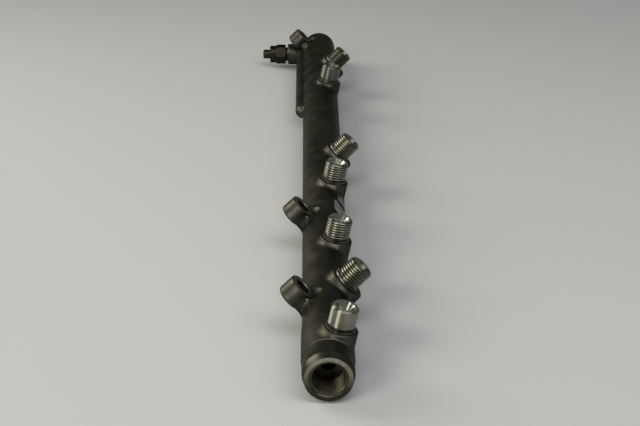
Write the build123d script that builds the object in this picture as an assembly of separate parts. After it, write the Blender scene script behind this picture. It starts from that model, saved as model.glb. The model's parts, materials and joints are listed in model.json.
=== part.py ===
from build123d import *
import os
from math import cos, radians, sin, tan

# Common rail of a six-cylinder diesel engine, in millimetres.
# The main bore runs along +Y from the sensor port, whose face centre is the origin.
# +Z is up as the rail lies on a flat surface, +X is to the right seen from the sensor port.
# Clock angles are measured round the main bore from +Z towards +X.

# ---- forged tube -----------------------------------------------------------
rail_length = 538.0          # sensor port face to far end
tube_d = 26.0                # forged tube
head_extra = 1.0             # thicker forging round the sensor port, on diameter
head_end = 40.0              # where the thick forging starts to thin down
head_blend = 21.2            # length of that change
far_edge_r = 3.0             # rounded edge of the closed far end

# ---- sensor port -----------------------------------------------------------
collar_cut = 0.8             # turned collar, on the head's diameter
collar_length = 16.0
nose_cut = 2.6               # outer edge of the end face, on the collar's diameter
nose_length = 4.5            # taper from the nose to the collar
port_d = 16.4                # M18 x 1.5, drilled to its minor diameter
port_mouth_d = 19.4          # chamfered mouth
port_mouth_angle = 120.0
port_depth = 16.0            # full depth of the port

# ---- main bore -------------------------------------------------------------
bore_d = 7.4
bore_mouth_d = 8.6           # edge broken at the bottom of the port
bore_end_wall = 8.0          # solid steel left at the far end
drill_point_angle = 118.0
drill_tip_d = 1.2            # small flat in the middle of the drill point

# ---- line nipples ----------------------------------------------------------
thread_d = 14.0              # M14 x 1.5
thread_chamfer = 0.9
nipple_top = 27.5            # end face, from the main bore axis
thread_start = 17.6          # full diameter starts here, from the main bore axis
relief_d = 11.8              # undercut below the thread
ring_d = 15.4                # machined ring the nipple grows out of
ring_height = 1.0
boss_top = 15.2              # machined top of the forged boss
steep_boss_cut = 7.4         # bosses under the steep nipples are this much narrower than the tube
side_boss_cut = 5.0          # the same for the side nipples
side_boss_shift = 1.2        # their bosses stand this far beside the nipple, away from the lugs
boss_top_r = 1.2             # rounded edge of the boss
boss_fillet_share = 0.54     # boss into tube, as a share of what the boss is narrower
boss_gap = 0.7               # first boss starts this far behind the collar
cone_d = 9.4                 # mouth of the sealing cone
cone_angle = 60.0
line_bore_d = 3.2

steep_clock = 12.0           # clock angle of the steep nipples
steep_offset = 3.0           # their axis passes this far beside the main bore axis
side_clock = 44.0            # clock angle of the side nipples
side_offset = 0.0

# ---- mounting lugs ---------------------------------------------------------
lug_clock = 45.0             # direction of the bolts
lug_offset = 19.3            # bolt axis, from the main bore axis
lug_d = 15.6
lug_face = 2.0               # machined face, above the main bore axis along the bolt
lug_height = 10.4
lug_top_r = 0.7
lug_foot_r = 1.5
bolt_hole_d = 9.0            # M8 bolt with clearance
bolt_hole_chamfer = 0.5
spot_d = 17.2                # cutter that clears the face from the tube
spot_step = 1.0              # it goes this much deeper round the lug
web_cut = 1.0                # web from the lug into the tube, narrower than the lug
web_edge_r = 4.4
web_fillet = 4.5             # web into tube
web_proud = 0.6              # the web stands this far above the face before it is machined
join_tol = 0.0001            # how finely two skins that lie on each other are joined
lug_pitch = 104.0            # between the two near lugs
lug_end = 17.5               # last lug's bolt, from the far end

# ---- side rib --------------------------------------------------------------
rib_d = 10.2
rib_stand = 0.4              # rib axis stands this far outside the tube's own surface
rib_length = 147.0
rib_tuck = 4.0               # the rib ends this far before the valve's axis
rib_nose_r = 4.0
rib_fillet = 2.0             # rib into tube

# ---- valve boss ------------------------------------------------------------
valve_end = 12.0             # valve axis, from the far end
valve_drop = 2.4             # valve axis below the main bore axis
valve_boss_d = 16.8
valve_boss_face = 26.0       # face of the boss, from the main bore axis
valve_boss_chamfer = 0.8
valve_boss_fillet = 3.0      # boss into tube
valve_well_depth = 10.0
valve_well_chamfer = 0.6
valve_throat_d = 3.0

# ---- relief valve ----------------------------------------------------------
valve_thread_d = 12.0        # M12 x 1.5
valve_thread_gap = 0.05      # clearance on radius in the tapped well
valve_inlet_depth = 4.0
neck_d = 11.0
neck_length = 1.6            # stands clear of the boss face
hex_flats = 14.0
hex_length = 8.0
hex_chamfer = 0.7
shoulder_d = 13.8
shoulder_length = 5.0
shoulder_r = 0.8
tip_d = 7.4
tip_length = 5.8
tip_r = 1.6
outlet_d = 4.0
outlet_depth = 9.0

# ---- milled flat -----------------------------------------------------------
flat_clock = 55.0
flat_depth = 1.3
flat_start = 166.0
flat_end = 200.0
flat_run_out_r = 12.0        # cutter that leaves the rounded ends

# ---- sizes that follow from the ones above ---------------------------------
OVERSHOOT = 1.0              # cutters run this far past the faces they open
head_d = tube_d + head_extra
collar_d = head_d - collar_cut
nose_d = collar_d - nose_cut
steep_boss_d = tube_d - steep_boss_cut
side_boss_d = tube_d - side_boss_cut
steep_fillet = boss_fillet_share * steep_boss_cut
side_fillet = boss_fillet_share * side_boss_cut
web_width = lug_d - web_cut
first_nipple = collar_length + boss_gap + steep_boss_d / 2
steep_stations = (first_nipple, first_nipple + 104.0, first_nipple + 188.5, rail_length - 130.5)
side_stations = (first_nipple + 57.0, first_nipple + 242.0, rail_length - 79.0)
first_lug = head_end + head_blend + web_width / 2
lug_stations = (first_lug, first_lug + lug_pitch, rail_length - lug_end)
valve_station = rail_length - valve_end
rib_offset = tube_d / 2 + rib_stand
rib_end = valve_station - rib_tuck
rib_start = rib_end - rib_length

SEATED = (Align.CENTER, Align.CENTER, Align.MIN)
ALONG = Plane(origin=(0, 0, 0), x_dir=(1, 0, 0), z_dir=(0, 1, 0))
TO_VALVE = Plane(origin=(0, valve_station, -valve_drop), x_dir=(0, 1, 0), z_dir=(-1, 0, 0))

steep_nipples = [(station, steep_clock, steep_offset) for station in steep_stations]
side_nipples = [(station, side_clock, side_offset) for station in side_stations]
nipples = steep_nipples + side_nipples


def radial_plane(station, clock, offset=0.0):
    """Plane whose Z axis is the radial direction at a clock angle and whose X axis is the rail axis."""
    angle = radians(clock)
    outward = Vector(sin(angle), 0, cos(angle))
    beside = Vector(cos(angle), 0, -sin(angle))
    origin = Vector(0, station, 0) + beside * offset
    return Plane(origin=origin, x_dir=(0, 1, 0), z_dir=outward)


def turned(points, plane=Plane.XY):
    """Solid of revolution about a plane's Z axis from (radius, height) points."""
    outline = make_face(Polyline(*[(r, 0, h) for r, h in points], close=True))
    return plane * revolve(outline, Axis.Z)


def blended(body, features, radius):
    """Join features to a body and round the seam between them."""
    joined = body + features
    seam = new_edges(body, *features, combined=joined)
    return fillet(seam, radius)


def tube_piece(start, end):
    """Plain length of the forged tube, to blend a feature into."""
    return ALONG * Pos(0, 0, start) * Cylinder(tube_d / 2, end - start, align=SEATED)


def head():
    """Thicker near end of the forging with its turned collar and nose."""
    outline = [
        (0, 0),
        (nose_d / 2, 0),
        (collar_d / 2, nose_length),
        (collar_d / 2, collar_length),
        (head_d / 2, collar_length + (head_d - collar_d) / 2),
        (head_d / 2, head_end),
        (tube_d / 2, head_end + head_blend),
        (0, head_end + head_blend),
    ]
    return turned(outline, ALONG)


def boss_blank(diameter, station, clock, offset):
    """Forged boss under a nipple, from inside the tube to its rounded top."""
    blank = Cylinder(diameter / 2, boss_top, align=SEATED)
    blank = fillet(blank.edges().group_by(Axis.Z)[-1], boss_top_r)
    return radial_plane(station, clock, offset) * blank


def nipple(station, clock, offset):
    """Turned nipple: ring, undercut, thread diameter and chamfered end."""
    ring_top = boss_top + ring_height
    relief_cone = (thread_d - relief_d) / 2
    outline = [
        (0, boss_top - 2 * ring_height),
        (ring_d / 2, boss_top - 2 * ring_height),
        (ring_d / 2, ring_top),
        (relief_d / 2, ring_top),
        (relief_d / 2, thread_start - relief_cone / 2),
        (thread_d / 2, thread_start),
        (thread_d / 2, nipple_top - thread_chamfer),
        (thread_d / 2 - thread_chamfer, nipple_top),
        (0, nipple_top),
    ]
    return turned(outline, radial_plane(station, clock, offset))


def line_bore(station, clock, offset):
    """Sealing cone and cross drilling of a nipple, down into the main bore."""
    cone_depth = (cone_d - line_bore_d) / 2 / tan(radians(cone_angle / 2))
    outline = [
        (0, 0),
        (line_bore_d / 2, 0),
        (line_bore_d / 2, nipple_top - cone_depth),
        (cone_d / 2, nipple_top),
        (cone_d / 2, nipple_top + OVERSHOOT),
        (0, nipple_top + OVERSHOOT),
    ]
    return turned(outline, radial_plane(station, clock, offset))


def web(station):
    """Rounded web between a lug and the tube."""
    low = lug_face - lug_height + lug_top_r
    high = lug_face + web_proud
    bolt = radial_plane(station, lug_clock, -lug_offset)
    section = Plane(origin=bolt.origin, x_dir=bolt.x_dir, z_dir=-bolt.y_dir)
    outline = Pos(0, (low + high) / 2) * RectangleRounded(web_width, high - low, web_edge_r)
    return section * extrude(outline, lug_offset - tube_d / 4)


def lug(station):
    """Round lug blank with its bolt direction along the lug clock angle."""
    blank = Cylinder(lug_d / 2, lug_height, align=SEATED)
    blank = fillet(blank.edges().group_by(Axis.Z)[-1], lug_top_r)
    blank = fillet(blank.edges().group_by(Axis.Z)[0], lug_foot_r)
    return radial_plane(station, lug_clock, -lug_offset) * Pos(0, 0, lug_face - lug_height) * blank


def bolt_hole(station):
    """Machined face and chamfered bolt hole of a lug."""
    hole_r = bolt_hole_d / 2
    foot = lug_face - lug_height
    outline = [
        (0, foot - OVERSHOOT),
        (hole_r + bolt_hole_chamfer + OVERSHOOT, foot - OVERSHOOT),
        (hole_r, foot + bolt_hole_chamfer),
        (hole_r, lug_face - bolt_hole_chamfer),
        (hole_r + bolt_hole_chamfer, lug_face),
        (lug_d / 2, lug_face),
        (lug_d / 2, lug_face - spot_step),
        (spot_d / 2, lug_face - spot_step),
        (spot_d / 2, lug_face + lug_height),
        (0, lug_face + lug_height),
    ]
    return turned(outline, radial_plane(station, lug_clock, -lug_offset))


def rib():
    """Half-round rib along the valve side, with a rounded near end."""
    bar = Cylinder(rib_d / 2, rib_end - rib_start, align=SEATED)
    bar = fillet(bar.edges().group_by(Axis.Z)[0], rib_nose_r)
    return ALONG * Pos(-rib_offset, 0, rib_start) * bar


def tube():
    """Forged tube with its side rib, from the head to the rounded far end."""
    body = blended(tube_piece(head_end + head_blend, rail_length), [rib()], rib_fillet)
    return fillet(body.edges().group_by(Axis.Y)[-1], far_edge_r)


def valve_boss():
    """Round boss that takes the relief valve."""
    blank = Cylinder(valve_boss_d / 2, valve_boss_face, align=SEATED)
    blank = chamfer(blank.edges().group_by(Axis.Z)[-1], valve_boss_chamfer)
    return TO_VALVE * blank


def main_bore():
    """Sensor port and blind main bore with its drill point."""
    bore_end = rail_length - bore_end_wall
    point = (bore_d - drill_tip_d) / 2 / tan(radians(drill_point_angle / 2))
    edge = (bore_mouth_d - bore_d) / 2
    port_lead = (port_mouth_d - port_d) / 2 / tan(radians(port_mouth_angle / 2))
    outline = [
        (0, -OVERSHOOT),
        (port_mouth_d / 2 + OVERSHOOT * tan(radians(port_mouth_angle / 2)), -OVERSHOOT),
        (port_d / 2, port_lead),
        (port_d / 2, port_depth),
        (bore_mouth_d / 2, port_depth),
        (bore_d / 2, port_depth + edge),
        (bore_d / 2, bore_end - point),
        (drill_tip_d / 2, bore_end),
        (0, bore_end),
    ]
    return turned(outline, ALONG)


def valve_well():
    """Tapped well of the relief valve and the throat that joins it to the main bore."""
    well_r = valve_thread_d / 2 + valve_thread_gap
    floor = valve_boss_face - valve_well_depth
    outline = [
        (0, 0),
        (valve_throat_d / 2, 0),
        (valve_throat_d / 2, floor),
        (well_r, floor),
        (well_r, valve_boss_face - valve_well_chamfer),
        (well_r + valve_well_chamfer + OVERSHOOT, valve_boss_face + OVERSHOOT),
        (0, valve_boss_face + OVERSHOOT),
    ]
    return turned(outline, TO_VALVE)


def milled_flat():
    """Cutter path of the flat on the rail's flank."""
    near = radial_plane(flat_start, flat_clock)
    length = flat_end - flat_start
    floor = tube_d / 2 - flat_depth
    outline = Pos(length / 2, 0, floor) * Box(length, tube_d, tube_d, align=SEATED)
    outline = fillet(outline.edges().filter_by(Axis.Y).group_by(Axis.Z)[0], flat_run_out_r)
    return near * outline


def relief_valve():
    """Screwed-in valve: shank, neck, hexagon, shoulder and tip with its outlet."""
    floor = valve_boss_face - valve_well_depth
    hex_start = valve_boss_face + neck_length
    hex_end = hex_start + hex_length
    shoulder_end = hex_end + shoulder_length
    tip_end = shoulder_end + tip_length
    shank_r = valve_thread_d / 2
    shank = turned([
        (0, floor),
        (shank_r - valve_well_chamfer, floor),
        (shank_r, floor + valve_well_chamfer),
        (shank_r, valve_boss_face - valve_well_chamfer),
        (neck_d / 2, valve_boss_face - valve_well_chamfer + (valve_thread_d - neck_d) / 2),
        (neck_d / 2, hex_start + hex_chamfer),
        (0, hex_start + hex_chamfer),
    ])
    corner_d = hex_flats / cos(radians(30))
    prism = Pos(0, 0, hex_start) * extrude(RegularPolygon(corner_d / 2, 6), hex_length)
    crown = turned([
        (0, hex_start),
        (hex_flats / 2, hex_start),
        (corner_d / 2, hex_start + hex_chamfer),
        (corner_d / 2, hex_end - hex_chamfer),
        (hex_flats / 2, hex_end),
        (0, hex_end),
    ])
    shoulder = Pos(0, 0, hex_end - hex_chamfer)
    shoulder *= Cylinder(shoulder_d / 2, shoulder_length + hex_chamfer, align=SEATED)
    shoulder = fillet(shoulder.edges().group_by(Axis.Z)[-1], shoulder_r)
    tip = Pos(0, 0, shoulder_end - shoulder_r)
    tip *= Cylinder(tip_d / 2, tip_length + shoulder_r, align=SEATED)
    tip = fillet(tip.edges().group_by(Axis.Z)[-1], tip_r)
    outlet = Pos(0, 0, tip_end - outlet_depth)
    outlet *= Cylinder(outlet_d / 2, outlet_depth + OVERSHOOT, align=SEATED)
    inlet = Pos(0, 0, floor - OVERSHOOT)
    inlet *= Cylinder(valve_throat_d / 2, valve_inlet_depth + OVERSHOOT, align=SEATED)
    body = shank + (prism & crown) + shoulder + tip
    body -= outlet + inlet
    return TO_VALVE * body


def rail_body():
    """One forging, machined: tube, nipples, lugs, rib, valve boss and drillings."""
    far_start = lug_stations[2] - lug_d
    far_end = rail_length - far_edge_r
    body = tube() + head()
    body = blended(body, [boss_blank(steep_boss_d, *place) for place in steep_nipples], steep_fillet)
    side_bosses = [(station, side_clock, side_offset + side_boss_shift) for station in side_stations]
    body = blended(body, [boss_blank(side_boss_d, *place) for place in side_bosses], side_fillet)
    for station in lug_stations[:2]:
        body = blended(body, [web(station)], web_fillet)
    far_web = blended(tube_piece(far_start, far_end), [web(lug_stations[2])], web_fillet)
    far_boss = blended(tube_piece(far_start, far_end), [valve_boss()], valve_boss_fillet)
    body = body.fuse(far_boss, tol=join_tol)
    body = body.fuse(far_web, tol=join_tol)
    body += [lug(station) for station in lug_stations]
    body += [nipple(*place) for place in nipples]
    cuts = [bolt_hole(station) for station in lug_stations]
    cuts += [line_bore(*place) for place in nipples]
    cuts += [main_bore(), valve_well(), milled_flat()]
    return body - cuts


def main():
    os.makedirs("parts", exist_ok=True)
    export_step(rail_body(), "parts/rail_body.step")
    export_step(relief_valve(), "parts/relief_valve.step")


if __name__ == "__main__":
    main()
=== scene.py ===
import json
import math

import bpy
import numpy as np
from mathutils import Euler, Matrix, Vector

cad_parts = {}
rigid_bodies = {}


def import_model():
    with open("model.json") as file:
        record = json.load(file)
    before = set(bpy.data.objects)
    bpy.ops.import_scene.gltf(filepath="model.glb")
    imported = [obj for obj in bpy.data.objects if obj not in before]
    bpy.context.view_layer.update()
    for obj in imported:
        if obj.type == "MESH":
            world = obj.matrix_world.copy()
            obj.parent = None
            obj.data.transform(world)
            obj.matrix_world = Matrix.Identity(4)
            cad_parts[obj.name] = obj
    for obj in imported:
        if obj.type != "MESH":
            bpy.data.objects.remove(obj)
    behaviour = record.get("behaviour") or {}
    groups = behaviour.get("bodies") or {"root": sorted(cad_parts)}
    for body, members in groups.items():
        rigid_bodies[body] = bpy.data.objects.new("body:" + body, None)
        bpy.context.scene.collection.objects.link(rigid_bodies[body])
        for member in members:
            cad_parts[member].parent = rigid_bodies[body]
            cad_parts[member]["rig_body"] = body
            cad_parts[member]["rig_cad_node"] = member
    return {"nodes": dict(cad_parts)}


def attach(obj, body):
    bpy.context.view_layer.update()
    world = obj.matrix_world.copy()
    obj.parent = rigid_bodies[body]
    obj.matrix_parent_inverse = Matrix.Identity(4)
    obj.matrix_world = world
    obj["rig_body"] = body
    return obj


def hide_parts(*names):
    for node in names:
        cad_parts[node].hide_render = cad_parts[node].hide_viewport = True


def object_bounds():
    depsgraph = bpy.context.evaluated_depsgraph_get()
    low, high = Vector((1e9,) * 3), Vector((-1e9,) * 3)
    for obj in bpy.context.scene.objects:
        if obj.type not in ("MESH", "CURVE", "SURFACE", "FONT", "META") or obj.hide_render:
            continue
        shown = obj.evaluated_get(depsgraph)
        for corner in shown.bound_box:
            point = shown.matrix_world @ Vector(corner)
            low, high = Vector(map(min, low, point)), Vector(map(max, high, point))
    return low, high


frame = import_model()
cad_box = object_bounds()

# A common rail, dressed with threads, oily forging skin and turned steel.
# It lies along +Y from its sensor port, with +Z up. Clock angles are measured round the main
# bore from +Z towards +X. Lengths on the rail are in millimetres, as in the CAD, and textures,
# lamps and floor are in metres.
MM = 0.001
SLACK = 0.05              # room round a nominal size, for the middles of faces on curved surfaces
CLOSE = 0.02              # the same for points and flat faces

# ---- tube, sensor port and main bore ---------------------------------------
RAIL_LENGTH = round(cad_box[1].y / MM, 3)   # from the frame
TUBE_R = 13.0
COLLAR_LENGTH = 16.0
COLLAR_SKIN_R = 11.6      # the skin of the collar and the nose lies outside this radius
END_FACE_R = 11.8         # outer edge of the end face
END_FACE_SHOWN_R = 12.1   # the same edge on the dressed copy
MOUTH_R = 9.7             # chamfered mouth of the port
MOUTH_SHOWN_R = 9.9       # the same edge on the dressed copy
LEAD_DEPTH = 0.86         # the mouth's chamfer ends about here
PALE_R = 9.0              # the pale finish of the end face starts at this radius
PALE_DEPTH = 0.45         # and reaches this deep
PORT_R = 8.2              # port, as drilled
PORT_DEPTH = 16.0
PORT_REGION_END = 20.0    # between the port and the first nipple
BORE_EDGE_R = 4.3         # broken edge of the main bore
BORE_EDGE_DEPTH = 0.6
BORE_R = 3.7

# ---- threads ---------------------------------------------------------------
SEGMENTS = 80             # points round a thread
PITCH = 1.5
CREST_SHARE = 0.46        # of the pitch
FLANK_SHARE = 0.40        # of the pitch, both flanks together

# ---- thread in the sensor port ---------------------------------------------
PORT_WALL_R = 9.1008      # the drilled wall goes back to this, behind the thread piece
PORT_ROOT_R = 9.0
PORT_BACK_R = 9.15        # hidden back of the thread piece
PORT_BACK_THICKNESS = 0.3
PORT_BACK_LIP = 0.08      # the back starts this far behind the first row of points
PORT_THREAD_START = 0.62
PORT_THREAD_END = 13.6
PORT_THREAD_STEP = 0.12   # between two rows of points
PORT_RUN_OUT = 0.6        # plain length behind the last turn
PORT_LEAD_R = 9.9         # cone that cuts the first turns, where it meets the end face
PORT_LEAD_SLOPE = 1.95

# ---- line nipples ----------------------------------------------------------
NIPPLE_TOP = 27.5         # end face, from the main bore axis
BOSS_TOP = 15.2           # machined top of the forged boss
RING_R = 7.7              # machined ring that the nipple grows out of
CREST_R = 7.0
CREST_CUT = 0.02          # the thread piece stays this far inside the crest radius
THREAD_DEPTH = 0.68
THREAD_STEP = 0.11        # between two rows of points
CHAMFER = 0.9
RELIEF_R = 5.9            # undercut below the thread
THREAD_FOOT = 17.05       # the thread piece starts here
FOOT_SLOPE = 2.0          # and widens from the undercut at this slope
CORE_R = 6.0              # the nipple's own cylinder goes back to this under its thread
SLEEVE_R = 5.6            # hidden inside of the thread piece
SLEEVE_TOP = 0.25         # the sleeve ends this far below the end face
SLEEVE_FOOT = 0.2         # and starts this far above the foot
CONE_DEPTH = 5.3          # sealing cone
LINE_BORE_R = 1.6
LINE_BORE_START = 2.0     # inside the main bore
STEEP = (12.0, 3.0)       # clock angle of a nipple's axis, and how far it passes beside the bore's
LEANING = (44.0, 0.0)
FAR_STEEP = 130.5         # the last nipple of each kind, from the far end
FAR_LEANING = 79.0

# ---- mounting lugs ---------------------------------------------------------
LUG_CLOCK = 45.0          # direction of the bolts
LUG_OFFSET = 19.3         # bolt axis, from the main bore axis
LUG_R = 7.8
LUG_FACE = 2.0            # machined face, above the main bore axis along the bolt
LUG_FACE_ROOM = 0.03      # room on that height, for the faces next to the machined one
LUG_HEIGHT = 10.4
BOLT_EDGE_R = 5.0         # chamfered edge of the bolt hole
BOLT_CHAMFER = 0.5
FIRST_LUG = 68.5
LUG_PITCH = 104.0         # between the two near lugs
LUG_END = 17.5            # last lug's bolt, from the far end
NEAR_LUGS = (FIRST_LUG, FIRST_LUG + LUG_PITCH)
LUGS = (*NEAR_LUGS, RAIL_LENGTH - LUG_END)

# ---- forged tongue under a near lug ----------------------------------------
TONGUE_POINTS = 96        # round the tongue
TONGUE_ROWS = 19          # from the lug down to the tube
TONGUE_ROW_POWER = 1.6    # above 1, the rows lie closer together at the lug
TONGUE_DROP = 0.4         # its middle lies this far below the middle of the lug
TONGUE_HALF_WIDTH = LUG_R - 0.15     # just inside the lug's wall
TONGUE_HALF_HEIGHT = 4.6
TONGUE_POWER = 5.0        # of the rounded rectangle that it grows from
TONGUE_FACING = (0.05, 0.5)      # it grows between these cosines of the angle to the sensor port
TONGUE_BELOW = (-0.85, -0.35)    # and between these sines of the angle down from the bolt's plane
TONGUE_REACH = 5.0        # how far it spreads over the tube where it is whole
TONGUE_TUCK = 1.2         # how far it draws in elsewhere
TONGUE_SINK = 1.0         # how far it sinks into the tube there
TONGUE_EDGE_SINK = 0.04   # its thin edge ends this far under the tube's skin
TONGUE_FALL = 9.0         # how fast it falls away from the lug
TONGUE_ROOT = 2.2         # its hidden back lies this far under the tube's skin
TONGUE_BACK = 1.5         # and starts this far inside the lug's wall
TONGUE_BACK_DROP = 1.4    # and this far below the tongue's own top

# ---- milled flat -----------------------------------------------------------
FLAT_CLOCK = 55.0
FLAT_R = 11.7             # floor of the flat, from the main bore axis
FLAT_START = 166.0
FLAT_END = 200.0
FLAT_LEVEL = 0.97         # cosine of the most that a face of the flat may lean

# ---- studio, in metres, watts and degrees ----------------------------------
FLOOR_HALF = 3.0
FLOOR_MIDDLE_Y = 0.27
FLOOR_GAP = 0.0002        # the floor lies this far under the rail
FLOOR_GREY = 0.50
FLOOR_ROUGHNESS = 0.9
WORLD_COLOUR = (0.80, 0.82, 0.84)
WORLD_STRENGTH = 0.24
WHITE = (1.0, 1.0, 1.0)
DAYLIGHT = (1.0, 0.98, 0.84)
PORT_FACE = (0.0, 0.0, 0.0)
NEAR_HALF = (0.0, 0.2, 0.0)      # a point inside the rail's near half
FULL_SPREAD = 180.0
# name, place, point that it faces, width and height, power, colour, spread
LAMPS = [
    ("window_back", (-0.92, 0.60, 0.50), NEAR_HALF, (0.62, 0.9), 3.0, DAYLIGHT, 100.0),
    ("window_front", (-0.74, -0.78, 0.42), PORT_FACE, (0.46, 0.85), 3.2, DAYLIGHT, 110.0),
    ("fill_right", (0.75, -0.5, 1.2), NEAR_HALF, (1.0, 0.8), 6.0, WHITE, FULL_SPREAD),
    ("overhead", (0.0, -0.45, 1.45), NEAR_HALF, (1.1, 0.7), 7.0, WHITE, FULL_SPREAD),
]

CAMERA_PLACE = (-11.04, -557.58, 336.95)   # in millimetres, as the lens and the sensor
CAMERA_TURN = (65.8983, -0.2480, -0.5541)  # about X, Y and Z
CAMERA_LENS = 75.94
CAMERA_SENSOR = 36.0
CAMERA_NEAR = 0.01
CAMERA_FAR = 20.0


def feature_place(station, clock, offset):
    """Origin, outward direction and side direction of a feature at a clock angle."""
    angle = math.radians(clock)
    out = np.array([math.sin(angle), 0.0, math.cos(angle)])
    side = np.array([math.cos(angle), 0.0, -math.sin(angle)])
    return np.array([0.0, station, 0.0]) + side * offset, out, side


# ---- materials -------------------------------------------------------------
MIX_FACTOR, MIX_A, MIX_B, MIX_RESULT = 0, 6, 7, 2   # colour sockets of Blender's Mix node


def grey(value):
    return (value, value, value)


def scaled(colour, by):
    return tuple(channel * by for channel in colour)


class Surface:
    """A new node material, with short ways to add nodes and to feed its shader."""

    def __init__(self, name):
        self.material = bpy.data.materials.new(name)
        self.material.use_nodes = True
        self.nodes = self.material.node_tree.nodes
        self.links = self.material.node_tree.links
        self.shader = self.nodes["Principled BSDF"]

    def feed(self, socket, value):
        """Link a node's output to a socket, or set the socket to a number or a colour."""
        if isinstance(value, bpy.types.NodeSocket):
            self.links.new(value, socket)
        elif isinstance(value, tuple):
            socket.default_value = (*value, 1.0)
        else:
            socket.default_value = value

    def set(self, name, value):
        """Feed one of the shader's own sockets."""
        self.feed(self.shader.inputs[name], value)

    def object_coord(self):
        return self.nodes.new("ShaderNodeTexCoord").outputs["Object"]

    def axes(self, coord):
        """X, Y and Z of a coordinate."""
        node = self.nodes.new("ShaderNodeSeparateXYZ")
        self.feed(node.inputs[0], coord)
        return node.outputs["X"], node.outputs["Y"], node.outputs["Z"]

    def noise(self, coord, scale, detail=4.0, roughness=0.55):
        node = self.nodes.new("ShaderNodeTexNoise")
        self.feed(node.inputs["Scale"], scale)
        self.feed(node.inputs["Detail"], detail)
        self.feed(node.inputs["Roughness"], roughness)
        self.feed(node.inputs["Vector"], coord)
        return node.outputs["Fac"]

    def cells(self, coord, scale):
        """Distance to the middle of the nearest cell."""
        node = self.nodes.new("ShaderNodeTexVoronoi")
        self.feed(node.inputs["Scale"], scale)
        self.feed(node.inputs["Vector"], coord)
        return node.outputs["Distance"]

    def share(self, value, low, high):
        """0 to 1 as a value goes from low to high."""
        node = self.nodes.new("ShaderNodeMapRange")
        self.feed(node.inputs["From Min"], low)
        self.feed(node.inputs["From Max"], high)
        self.feed(node.inputs["Value"], value)
        return node.outputs["Result"]

    def ramp(self, value, low, high):
        """Colour between two stops, each a position and a colour."""
        node = self.nodes.new("ShaderNodeValToRGB")
        for element, (position, colour) in zip(node.color_ramp.elements, (low, high)):
            element.position = position
            element.color = (*colour, 1.0)
        self.feed(node.inputs["Fac"], value)
        return node.outputs["Color"]

    def mix(self, factor, a, b, mode="MIX"):
        """Blend of two colours."""
        node = self.nodes.new("ShaderNodeMix")
        node.data_type = "RGBA"
        node.blend_type = mode
        self.feed(node.inputs[MIX_FACTOR], factor)
        self.feed(node.inputs[MIX_A], a)
        self.feed(node.inputs[MIX_B], b)
        return node.outputs[MIX_RESULT]

    def bump(self, height, strength, distance, under=None):
        """Bumped normal, on top of another one where that is given."""
        node = self.nodes.new("ShaderNodeBump")
        self.feed(node.inputs["Strength"], strength)
        self.feed(node.inputs["Distance"], distance)
        self.feed(node.inputs["Height"], height)
        if under:
            self.feed(node.inputs["Normal"], under)
        return node.outputs["Normal"]


def forging_material(name, dark, light, rough, grain, edge=0.45):
    """Dark oiled forging: blotches, worn lighter spots, pits, a sandy grain and an uneven polish."""
    surface = Surface(name)
    coord = surface.object_coord()
    blotches = surface.noise(coord, scale=55.0, detail=5.0, roughness=0.6)
    base = surface.ramp(blotches, (0.34, dark), (0.70, light))
    sand = surface.noise(coord, scale=420.0, detail=6.0, roughness=0.65)
    worn = surface.ramp(sand, (0.62, grey(0.0)), (0.76, grey(0.6)))
    base = surface.mix(worn, base, scaled(light, by=1.8))
    cells = surface.cells(coord, scale=330.0)
    pits = surface.ramp(cells, (0.0, grey(0.0)), (0.16, grey(1.0)))
    base = surface.mix(pits, scaled(dark, by=0.4), base)
    surface.set("Base Color", base)
    polish = surface.noise(coord, scale=90.0)
    surface.set("Roughness", surface.ramp(polish, (0.35, grey(rough[0])), (0.65, grey(rough[1]))))
    dents = surface.noise(coord, scale=130.0, detail=3.0)
    normal = surface.bump(dents, strength=0.30, distance=0.0006)
    grit = surface.noise(coord, scale=900.0, detail=5.0, roughness=0.6)
    normal = surface.bump(grit, strength=grain, distance=0.00025, under=normal)
    normal = surface.bump(pits, strength=0.4, distance=0.0002, under=normal)
    surface.set("Normal", normal)
    surface.set("Metallic", 1.0)
    surface.set("Specular Tint", (edge, edge, edge * 0.95))
    return surface.material


def machined_material(name, tint, dull, rough, marks, painted_shade_heights=None):
    """Machined steel: tool marks, dull stains, an uneven polish, and painted shade that darkens it
    below the given heights.
    """
    surface = Surface(name)
    coord = surface.object_coord()
    stains = surface.noise(coord, scale=160.0, detail=5.0, roughness=0.6)
    base = surface.ramp(stains, (0.36, dull), (0.60, tint))
    # painted shade: the colour turns dark below the given heights along the object's Z
    if painted_shade_heights:
        height = surface.axes(coord)[2]
        base = surface.mix(surface.share(height, *painted_shade_heights), scaled(dull, by=0.15), base)
    surface.set("Base Color", base)
    polish = surface.noise(coord, scale=260.0)
    surface.set("Roughness", surface.ramp(polish, (0.35, grey(rough[0])), (0.65, grey(rough[1]))))
    scratches = surface.noise(coord, scale=1500.0, detail=3.0)
    surface.set("Normal", surface.bump(scratches, strength=marks, distance=0.00012))
    surface.set("Metallic", 1.0)
    return surface.material


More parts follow.
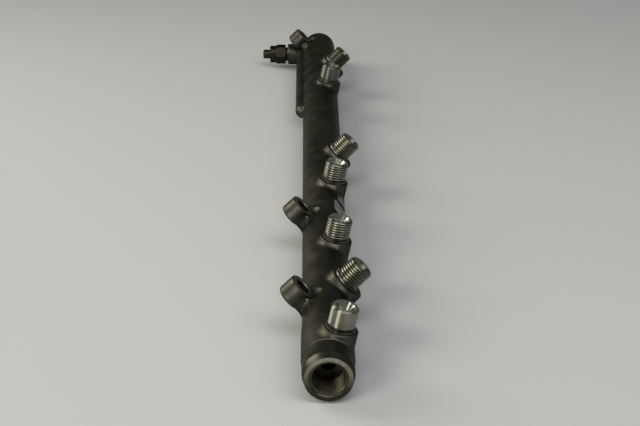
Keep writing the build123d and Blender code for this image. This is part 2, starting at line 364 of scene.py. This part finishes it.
def turned_material(name, crest, root, radii, roughness, streak):
    """Turned steel of a piece whose own Z axis is its lathe axis: painted shade that darkens the roots,
    and a streaked polish.
    """
    surface = Surface(name)
    coord = surface.object_coord()
    x, y, _ = surface.axes(coord)
    flat = surface.nodes.new("ShaderNodeCombineXYZ")
    surface.feed(flat.inputs["X"], x)
    surface.feed(flat.inputs["Y"], y)
    radius = surface.nodes.new("ShaderNodeVectorMath")
    radius.operation = "LENGTH"
    surface.feed(radius.inputs[0], flat.outputs[0])
    root_r, crest_r = radii
    height = surface.share(radius.outputs["Value"], root_r * MM, crest_r * MM)
    # painted shade: darker towards the root radius, in the thread roots, the chamfer and the undercut
    base = surface.mix(height, root, crest)
    stains = surface.noise(coord, scale=140.0, roughness=0.6)
    stained = surface.ramp(stains, (0.36, grey(0.72)), (0.60, grey(1.0)))
    surface.set("Base Color", surface.mix(1.0, base, stained, mode="MULTIPLY"))
    surface.set("Roughness", roughness)
    surface.set("Metallic", 1.0)
    surface.set("Anisotropic", streak)
    surface.set("Anisotropic Rotation", 0.25)
    tangent = surface.nodes.new("ShaderNodeTangent")
    tangent.direction_type = "RADIAL"
    tangent.axis = "Z"
    surface.set("Tangent", tangent.outputs["Tangent"])
    return surface.material


# ---- finishes of the forging and the valve ---------------------------------
forged = forging_material(
    "forged_steel", dark=(0.048, 0.046, 0.038), light=(0.084, 0.080, 0.064),
    rough=(0.36, 0.50), grain=0.35)
collar = forging_material(
    "turned_collar", dark=(0.055, 0.053, 0.042), light=(0.085, 0.082, 0.062),
    rough=(0.30, 0.42), grain=0.12)
# oiled steel made dark as painted shade, for the walls inside the port, the bores and the bolt holes
oil_and_shade_bore = forging_material(
    "oil_and_shade_bore", dark=(0.050, 0.044, 0.030), light=(0.085, 0.075, 0.048),
    rough=(0.28, 0.42), grain=0.15, edge=0.8)
# painted shade: a darker forging for the tongues under the near lugs, where the lugs' near walls lie in
# shade
painted_shade_web = forging_material(
    "painted_shade_web", dark=(0.026, 0.025, 0.020), light=(0.046, 0.044, 0.034),
    rough=(0.42, 0.56), grain=0.35, edge=0.3)
valve_oxide = forging_material(
    "valve_oxide", dark=(0.016, 0.015, 0.011), light=(0.042, 0.040, 0.027),
    rough=(0.34, 0.48), grain=0.15, edge=0.35)
bright = machined_material(
    "bright_steel", tint=(0.40, 0.395, 0.345), dull=(0.26, 0.255, 0.21),
    rough=(0.18, 0.28), marks=0.05)
satin = machined_material(
    "satin_steel", tint=(0.16, 0.157, 0.135), dull=(0.075, 0.072, 0.058),
    rough=(0.34, 0.50), marks=0.2)
bare = machined_material(
    "bare_steel", tint=(0.34, 0.335, 0.30), dull=(0.20, 0.20, 0.175),
    rough=(0.40, 0.55), marks=0.25)
# painted shade: the end-face ring is darkened towards its bottom
ring = machined_material(
    "turned_ring", tint=(0.44, 0.433, 0.340), dull=(0.28, 0.273, 0.205),
    rough=(0.24, 0.36), marks=0.15, painted_shade_heights=(-0.006, 0.014))
# the insides of holes take a dark slot: oil and painted shade
SLOTS = [forged, bright, satin, collar, oil_and_shade_bore, bare, ring]
FORGED, BRIGHT, SATIN, COLLAR, OIL_AND_SHADE, BARE, RING = range(len(SLOTS))

# ---- turned steels of the nipples ------------------------------------------
SMOOTH = (5.8, 7.0)       # radii of the root and the crest
THREADED = (6.3, 6.95)
# each root colour is painted shade, darker in the thread roots
smooth_steel = turned_material(
    "turned_steel", crest=(0.30, 0.297, 0.25), root=(0.20, 0.197, 0.16), radii=SMOOTH,
    roughness=0.40, streak=0.97)
# a darker copy of the turned steel, for the far plain nipple
darker_turned_steel = turned_material(
    "darker_turned_steel", crest=(0.17, 0.168, 0.135), root=(0.11, 0.108, 0.082), radii=SMOOTH,
    roughness=0.40, streak=0.97)
thread_steel = turned_material(
    "thread_steel", crest=(0.29, 0.286, 0.23), root=(0.05, 0.048, 0.035), radii=THREADED,
    roughness=0.34, streak=0.85)
olive_steel = turned_material(
    "olive_thread", crest=(0.23, 0.226, 0.165), root=(0.045, 0.043, 0.030), radii=THREADED,
    roughness=0.36, streak=0.8)
dull_steel = turned_material(
    "dull_thread", crest=(0.11, 0.109, 0.076), root=(0.030, 0.029, 0.020), radii=THREADED,
    roughness=0.42, streak=0.7)

# station, clock angle and offset, depth of the thread as a share, steel, slot of the end face
NIPPLES = [
    (26.0, STEEP, 0.0, smooth_steel, BRIGHT),
    (83.0, LEANING, 1.0, olive_steel, SATIN),
    (130.0, STEEP, 1.0, thread_steel, BRIGHT),
    (214.5, STEEP, 1.0, thread_steel, BRIGHT),
    (268.0, LEANING, 0.8, olive_steel, SATIN),
    (RAIL_LENGTH - FAR_STEEP, STEEP, 0.0, darker_turned_steel, SATIN),
    (RAIL_LENGTH - FAR_LEANING, LEANING, 0.8, dull_steel, SATIN),
]


# ---- the forging: a dressed copy of the CAD body ---------------------------
def copy_of_cad_body():
    """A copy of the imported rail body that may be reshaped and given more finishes."""
    source = frame["nodes"]["rail_body"]
    body = source.copy()
    body.data = source.data.copy()
    body.name = "rail_forging"
    body.parent = None
    # the copy drops the frame's marks of a CAD piece
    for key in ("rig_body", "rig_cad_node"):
        if key in body:
            del body[key]
    bpy.context.scene.collection.objects.link(body)
    return body


def rows_of(items, name):
    """One row of three numbers for each item of a mesh."""
    flat = np.empty(len(items) * 3)
    items.foreach_get(name, flat)
    return flat.reshape(-1, 3)


def height_and_radius(points, place):
    """Height of each point along a feature's axis, and its distance from that axis."""
    origin, out, _ = place
    offset = points - origin
    height = offset @ out
    return height, np.linalg.norm(offset - height[:, None] * out, axis=1)


def paint_port(slot, centre):
    """Collar, end face and mouth, port wall and floor, edge and wall of the main bore."""
    r = np.hypot(centre[:, 0], centre[:, 2])
    y = centre[:, 1]
    port = (y < PORT_REGION_END) & (r < PORT_R + SLACK)
    bore_edge = (y > PORT_DEPTH + CLOSE) & (y < PORT_DEPTH + BORE_EDGE_DEPTH + SLACK)
    slot[(y < COLLAR_LENGTH) & (r > COLLAR_SKIN_R)] = COLLAR
    slot[(y < PALE_DEPTH) & (r > PALE_R)] = RING
    slot[(y < LEAD_DEPTH) & (r < MOUTH_R)] = RING
    # the port wall and the main bore are darkened: oil and painted shade
    slot[port & (y > LEAD_DEPTH)] = OIL_AND_SHADE
    slot[port & (y > PORT_DEPTH - SLACK)] = SATIN
    slot[bore_edge & (r < BORE_EDGE_R + SLACK)] = RING
    slot[(y > PORT_DEPTH) & (r < BORE_R + SLACK)] = OIL_AND_SHADE


def paint_nipple(slot, centre, place, end_slot):
    """Machined top of the boss, turned end with its cone, and the line bore."""
    height, radius = height_and_radius(centre, place)
    turned = radius < RING_R + SLACK
    slot[turned & (height > BOSS_TOP - CLOSE)] = SATIN
    slot[turned & (height > THREAD_FOOT)] = end_slot
    # the line bore is darkened: oil and painted shade
    line_bore = (height > LINE_BORE_START) & (height < NIPPLE_TOP - CONE_DEPTH)
    slot[line_bore & (radius < LINE_BORE_R + SLACK)] = OIL_AND_SHADE


def paint_lug(slot, centre, place):
    """Machined face and bolt hole of a lug."""
    height, radius = height_and_radius(centre, place)
    hole = (radius < BOLT_EDGE_R + SLACK) & (height < LUG_FACE + CLOSE)
    slot[(np.abs(height - LUG_FACE) < LUG_FACE_ROOM) & (radius < LUG_R)] = SATIN
    # the bolt hole's wall is darkened: oil and painted shade
    slot[hole & (height > LUG_FACE - LUG_HEIGHT)] = OIL_AND_SHADE
    slot[hole & (height > LUG_FACE - BOLT_CHAMFER - SLACK)] = SATIN


def paint_flat(slot, centre, normal):
    """Bare floor of the milled flat."""
    _, out, _ = feature_place(0.0, FLAT_CLOCK, 0.0)
    r = np.hypot(centre[:, 0], centre[:, 2])
    y = centre[:, 1]
    level = (centre @ out > FLAT_R - CLOSE) & (normal @ out > FLAT_LEVEL)
    slot[level & (y > FLAT_START) & (y < FLAT_END) & (r < TUBE_R)] = BARE


def sink_nipple_core(points, place):
    """Move a nipple's plain cylinder back under its thread piece."""
    origin, out, _ = place
    height, radius = height_and_radius(points, place)
    core = (np.abs(radius - CREST_R) < CLOSE) & (height > THREAD_FOOT) & (height < NIPPLE_TOP)
    across = points - origin - height[:, None] * out
    points[core] -= across[core] * (1.0 - CORE_R / radius[core])[:, None]


def move_radius(points, end, old, new):
    """Move the points on one radius of the main bore to another, from the end face to a depth."""
    chosen = (np.abs(np.hypot(points[:, 0], points[:, 2]) - old) < CLOSE) & (points[:, 1] < end)
    points[chosen, 0] *= new / old
    points[chosen, 2] *= new / old


def dress_body():
    """The forging with its finishes, set back where the thread pieces cover it."""
    body = copy_of_cad_body()
    mesh = body.data
    points = rows_of(mesh.vertices, "co") / MM
    centre = rows_of(mesh.polygons, "center") / MM
    slot = np.full(len(centre), FORGED, dtype=np.int32)
    paint_port(slot, centre)
    for station, lean, _, _, end_slot in NIPPLES:
        place = feature_place(station, *lean)
        paint_nipple(slot, centre, place, end_slot)
        sink_nipple_core(points, place)
    for station in LUGS:
        paint_lug(slot, centre, feature_place(station, LUG_CLOCK, -LUG_OFFSET))
    paint_flat(slot, centre, rows_of(mesh.polygons, "normal"))
    move_radius(points, CLOSE, END_FACE_R, END_FACE_SHOWN_R)
    move_radius(points, CLOSE, MOUTH_R, MOUTH_SHOWN_R)
    move_radius(points, PORT_DEPTH + CLOSE, PORT_R, PORT_WALL_R)
    mesh.vertices.foreach_set("co", (points * MM).ravel())
    mesh.materials.clear()
    for material in SLOTS:
        mesh.materials.append(material)
    mesh.polygons.foreach_set("material_index", slot)
    mesh.update()
    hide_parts("rail_body")
    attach(body, "root")


# ---- threads and tongues ---------------------------------------------------
def skin_ring(name, rows, material):
    """Closed ring of skin through rows of points, on the rail's body."""
    count = len(rows[0])
    faces = []
    for i in range(len(rows)):
        here = i * count
        after = (i + 1) % len(rows) * count
        for k in range(count):
            beside = (k + 1) % count
            faces.append((here + k, here + beside, after + beside, after + k))
    mesh = bpy.data.meshes.new(name)
    mesh.from_pydata([tuple(point) for point in np.concatenate(rows) * MM], [], faces)
    mesh.materials.append(material)
    mesh.update()
    mesh.shade_smooth()
    piece = bpy.data.objects.new(name, mesh)
    bpy.context.scene.collection.objects.link(piece)
    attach(piece, "root")
    return piece


def circle(count):
    """Angles evenly round a circle."""
    return np.linspace(0, 2 * math.pi, count, endpoint=False)


def share_between(value, low, high):
    """0 to 1 as a value goes from low to high."""
    return np.clip((value - low) / (high - low), 0.0, 1.0)


def turned_piece(name, rings, place, material):
    """Closed ring about its own Z axis from pairs of a height and the radius or radii round it."""
    origin, out, side = place
    angle = circle(SEGMENTS)
    rows = []
    for height, radii in rings:
        r = np.broadcast_to(radii, SEGMENTS)
        rows.append(np.stack([r * np.cos(angle), r * np.sin(angle), np.full(SEGMENTS, height)], axis=1))
    piece = skin_ring(name, rows, material)
    along = np.cross(out, side)
    matrix = [[side[i], along[i], out[i], origin[i] * MM] for i in range(3)]
    piece.matrix_world = Matrix(matrix + [[0, 0, 0, 1]])
    return piece


def thread_wave(height):
    """Depth of the thread round a row at a height: 0 on its crest and 1 in its root."""
    turns = height / PITCH - circle(SEGMENTS) / (2 * math.pi)
    from_crest = 1.0 - np.abs(2.0 * (turns - np.floor(turns)) - 1.0)
    return np.clip((from_crest - CREST_SHARE) / FLANK_SHARE, 0.0, 1.0)


def nipple_thread(name, place, share, material):
    """Thread of a nipple, cut to a share of its depth, with a hidden sleeve inside."""
    rings = []
    for height in np.arange(THREAD_FOOT, NIPPLE_TOP + CLOSE, THREAD_STEP):
        thread = CREST_R - CREST_CUT - THREAD_DEPTH * share * thread_wave(height)
        chamfer = CREST_R - CHAMFER + (NIPPLE_TOP - height)
        foot = RELIEF_R + (height - THREAD_FOOT) * FOOT_SLOPE
        rings.append((height, np.minimum(thread, min(chamfer, foot))))
    rings.append((NIPPLE_TOP, CREST_R - CHAMFER))
    rings.append((NIPPLE_TOP - SLEEVE_TOP, SLEEVE_R))
    rings.append((THREAD_FOOT + SLEEVE_FOOT, SLEEVE_R))
    turned_piece(name, rings, place, material)


def port_thread():
    """Thread of the sensor port, with a hidden back behind it."""
    rings = []
    for depth in np.arange(PORT_THREAD_START, PORT_THREAD_END, PORT_THREAD_STEP):
        thread = PORT_R + (PORT_ROOT_R - PORT_R) * thread_wave(depth)
        lead = PORT_LEAD_R - depth * PORT_LEAD_SLOPE
        rings.append((-depth, np.maximum(thread, lead)))
    far = PORT_THREAD_END + PORT_RUN_OUT
    rings.append((-far, PORT_BACK_R))
    rings.append((-far, PORT_BACK_R + PORT_BACK_THICKNESS))
    rings.append((-PORT_THREAD_START - PORT_BACK_LIP, PORT_BACK_R + PORT_BACK_THICKNESS))
    rings.append((-PORT_THREAD_START, PORT_BACK_R))
    place = (np.zeros(3), np.array([0.0, -1.0, 0.0]), np.array([1.0, 0.0, 0.0]))
    # the port's thread is darkened: oil and painted shade
    turned_piece("port_thread", rings, place, oil_and_shade_bore)


def web_flare(number, station):
    """Forged tongue that carries a lug's near wall straight down to the tube."""
    _, out, side = feature_place(station, LUG_CLOCK, 0.0)
    low = LUG_FACE - LUG_HEIGHT / 2 - TONGUE_DROP
    angle = circle(TONGUE_POINTS)
    c, s = np.cos(angle), np.sin(angle)
    facing = share_between(-c, *TONGUE_FACING)
    whole = facing * facing * (3.0 - 2.0 * facing) * share_between(-s, *TONGUE_BELOW)
    across = np.abs(c / TONGUE_HALF_WIDTH) ** TONGUE_POWER
    upright = np.abs(s / TONGUE_HALF_HEIGHT) ** TONGUE_POWER
    foot = (across + upright) ** (-1.0 / TONGUE_POWER)
    reach = -TONGUE_TUCK + (TONGUE_REACH + TONGUE_TUCK) * whole

    def skin(radius):
        """How far the tube's skin lies from the bore axis, towards the lug, and never under 1 mm."""
        return np.sqrt(np.maximum(TUBE_R**2 - (low + radius * s) ** 2, 1.0))

    rise = np.maximum(LUG_OFFSET - skin(foot), 0.0) * whole
    rings = []
    for t in np.linspace(0.0, 1.0, TONGUE_ROWS) ** TONGUE_ROW_POWER:
        radius = foot + reach * t
        fall = rise * np.exp(-TONGUE_FALL * t) * (1.0 - t)
        sink = TONGUE_SINK * (1.0 - whole)
        rings.append((radius, skin(radius) + fall - TONGUE_EDGE_SINK * t - sink))
    inner = foot - TONGUE_BACK
    rings.append((foot + reach, skin(foot + reach) - TONGUE_ROOT))
    rings.append((inner, skin(inner) - TONGUE_ROOT))
    rings.append((inner, skin(foot) + rise - TONGUE_BACK_DROP))
    rows = []
    for radius, height in rings:
        beside = np.outer(height, -side)
        upward = np.outer(low + radius * s, out)
        rows.append(beside + upward + np.outer(station + radius * c, (0.0, 1.0, 0.0)))
    # the tongue takes the darker forging of painted shade
    skin_ring(f"web_flare_{number}", rows, painted_shade_web)


# ---- studio ----------------------------------------------------------------
def studio_floor():
    """Pale floor just under the rail."""
    h = FLOOR_HALF
    mesh = bpy.data.meshes.new("studio_floor")
    mesh.from_pydata([(-h, -h, 0), (h, -h, 0), (h, h, 0), (-h, h, 0)], [], [(0, 1, 2, 3)])
    floor = bpy.data.objects.new("studio_floor", mesh)
    floor.location = (0, FLOOR_MIDDLE_Y, cad_box[0].z - FLOOR_GAP)
    bpy.context.scene.collection.objects.link(floor)
    surface = Surface("pale_floor")
    surface.set("Base Color", grey(FLOOR_GREY))
    surface.set("Roughness", FLOOR_ROUGHNESS)
    mesh.materials.append(surface.material)


def softbox(name, place, target, size, watts, colour, spread):
    """Rectangular lamp that faces a target."""
    light = bpy.data.lights.new(name, "AREA")
    light.shape = "RECTANGLE"
    light.size, light.size_y = size
    light.energy = watts
    light.color = colour
    light.spread = math.radians(spread)
    lamp = bpy.data.objects.new(name, light)
    lamp.location = place
    lamp.rotation_mode = "QUATERNION"
    lamp.rotation_quaternion = (Vector(target) - Vector(place)).to_track_quat("-Z", "Y")
    bpy.context.scene.collection.objects.link(lamp)


def studio_world():
    """One plain background, for every ray."""
    world = bpy.data.worlds.new("studio")
    bpy.context.scene.world = world
    world.use_nodes = True
    nodes = world.node_tree.nodes
    nodes.clear()
    output = nodes.new("ShaderNodeOutputWorld")
    background = nodes.new("ShaderNodeBackground")
    background.inputs["Color"].default_value = (*WORLD_COLOUR, 1.0)
    background.inputs["Strength"].default_value = WORLD_STRENGTH
    world.node_tree.links.new(background.outputs["Background"], output.inputs["Surface"])


def studio_camera():
    """Camera in front of the sensor port, looking down along the rail."""
    data = bpy.data.cameras.new("camera")
    data.lens = CAMERA_LENS
    data.sensor_width = CAMERA_SENSOR
    data.clip_start = CAMERA_NEAR
    data.clip_end = CAMERA_FAR
    camera = bpy.data.objects.new("camera", data)
    turn = Euler([math.radians(angle) for angle in CAMERA_TURN], "XYZ")
    camera.matrix_world = Matrix.LocRotScale(Vector(CAMERA_PLACE) * MM, turn, None)
    bpy.context.scene.collection.objects.link(camera)
    bpy.context.scene.camera = camera


dress_body()
for number, station in enumerate(NEAR_LUGS, 1):
    web_flare(number, station)
for number, (station, lean, share, steel, _) in enumerate(NIPPLES, 1):
    nipple_thread(f"nipple_thread_{number}", feature_place(station, *lean), share, steel)
port_thread()
valve = frame["nodes"]["relief_valve"]
valve.data.materials.clear()
valve.data.materials.append(valve_oxide)

studio_floor()
for lamp in LAMPS:
    softbox(*lamp)
studio_world()
studio_camera()
bpy.context.scene.view_settings.view_transform = "Standard"
